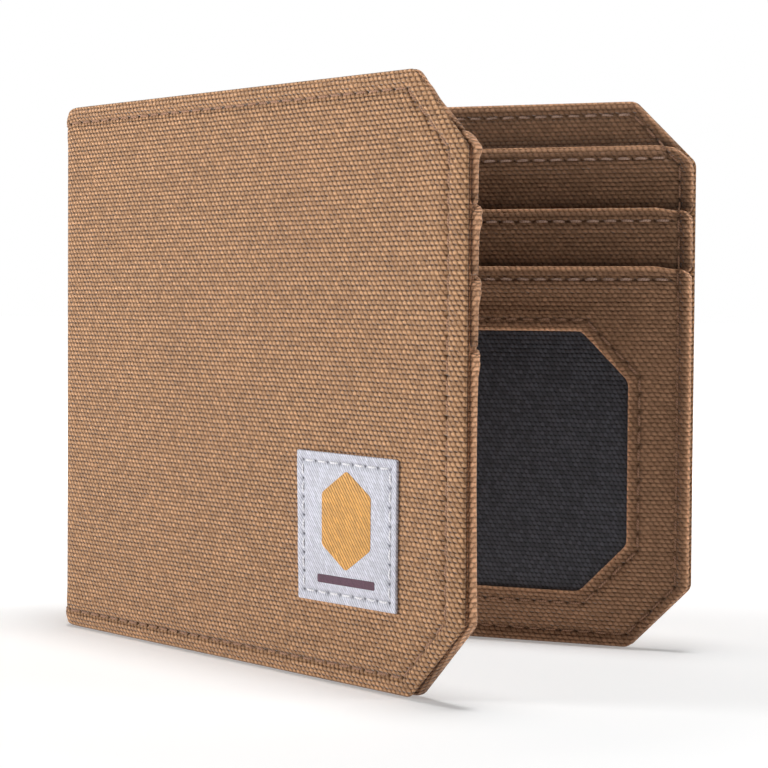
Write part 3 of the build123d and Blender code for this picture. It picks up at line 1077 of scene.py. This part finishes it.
label = cloth(
    "label_cloth", front, label_outline, label_face, lambda s, z: front.cover_face(s, z) - 0.01, label_cloth,
    rim=0.16, seams=[label_seam], shown="low", rings=(0.15, 0.4), spacing=0.8, edge=0.35, seam_line_dirt_and_shade=0.15,
)
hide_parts("label")
front.ride(label)

label_stitches = stitches(
    "label_stitches", front, [(label_seam, label_face, -1)], label_thread, seed=9, proud=0.05, fall=1.8
)
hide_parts("label_stitching")
front.ride(label_stitches)


def add_figure(name, middle, half, radius, lift, material, rim, rings=()):
    """A raised figure on the label. half is its outline's right half, from the figure's middle."""
    mid_s, mid_z = middle
    corners = [(mid_s + s, mid_z + z) for s, z in half] + [(mid_s - s, mid_z - z) for s, z in half]
    figure = cloth(
        name, front, Outline(corners, radius), lambda s, z: label_face(s, z) - lift,
        lambda s, z: label_face(s, z) + 0.05, material, rim, rings, shown="low", spacing=0.8, edge=0.35,
    )
    front.ride(figure)


mid_s, mid_z = (s0 + s1) / 2, (z0 + z1) / 2
wide, tall, upright = MOTIF
hexagon_half = [(0, -tall), (wide, -upright), (wide, upright)]
add_figure("label_motif", (mid_s, mid_z + MOTIF_RISE), hexagon_half, 0.9, 0.07, gold, rim=0.10, rings=(0.2,))
wide, tall = RULE
add_figure("label_rule", (mid_s, z0 + RULE_HEIGHT), [(wide, -tall), (wide, tall)], 0.3, 0.05, plum, rim=0.08)

# ---- floor and light ----
WHITE_WALL = (-0.39, 0.92, 0.0)    # the direction it lies in
WALL_EDGE = (0.60, 0.92)           # cosines with it, between which the walls turn white
DIM_WALLS = 0.0
FLOOR_FADE, FLOOR_GLOW = (0.08, 0.40), (0.26, 1.04)    # distances in metres, and the glow at each
FLOOR_REACH, FLOOR_LEVEL = 6.0, -0.0003
LIT_POINT = (0, 0, 0.045)          # that every light faces
WHITE = (1, 1, 1, 1)


def add_floor():
    """A pale floor that turns white away from the wallet."""
    n = Shader("floor", roughness=1.0, specular=0.0)
    away = n.node("VectorMath", n.node("TexCoord").outputs["Object"], operation="LENGTH")
    glow = n.ramp(away.outputs["Value"], *FLOOR_FADE, *FLOOR_GLOW, shape="LINEAR")
    n.put(n.surface, "Base Color", (0.85, 0.85, 0.85, 1))
    n.put(n.surface, "Emission Color", WHITE)
    n.put(n.surface, "Emission Strength", glow)
    mesh = bpy.data.meshes.new("floor")
    r = FLOOR_REACH
    corners = [(x, y, FLOOR_LEVEL) for x, y in ((-r, -r), (r, -r), (r, r), (-r, r))]
    mesh.from_pydata(corners, [], [(0, 1, 2, 3)])
    mesh.materials.append(n.material)
    added("floor", mesh)


def add_world():
    """Studio walls: white behind the object, and dimmer on the side that the wallet opens to."""
    world = bpy.data.worlds.new("studio")
    n = Nodes(world)
    place = n.node("TexCoord").outputs["Generated"]
    toward = n.node("VectorMath", place, WHITE_WALL, operation="DOT_PRODUCT")
    sky = n.tree.nodes["Background"]
    n.put(sky, "Strength", n.ramp(toward.outputs["Value"], *WALL_EDGE, DIM_WALLS, 1.0))
    n.put(sky, "Color", WHITE)
    bpy.context.scene.world = world


def soft_light(name, place, size, power):
    data = bpy.data.lights.new(name, "AREA")
    data.shape, data.size, data.energy = "DISK", size, power
    light = added(name, data)
    light.location = place
    light.rotation_mode = "QUATERNION"
    light.rotation_quaternion = (Vector(LIT_POINT) - Vector(place)).to_track_quat("-Z", "Y")


add_floor()
add_world()
soft_light("key", (-0.85, -0.42, 0.16), 0.30, 7.7)
soft_light("overhead", (0.03, 0.0, 0.95), 0.30, 5.6)
soft_light("side", (0.95, 0.12, 0.30), 0.35, 2.1)
bpy.context.scene.view_settings.view_transform = "Standard"
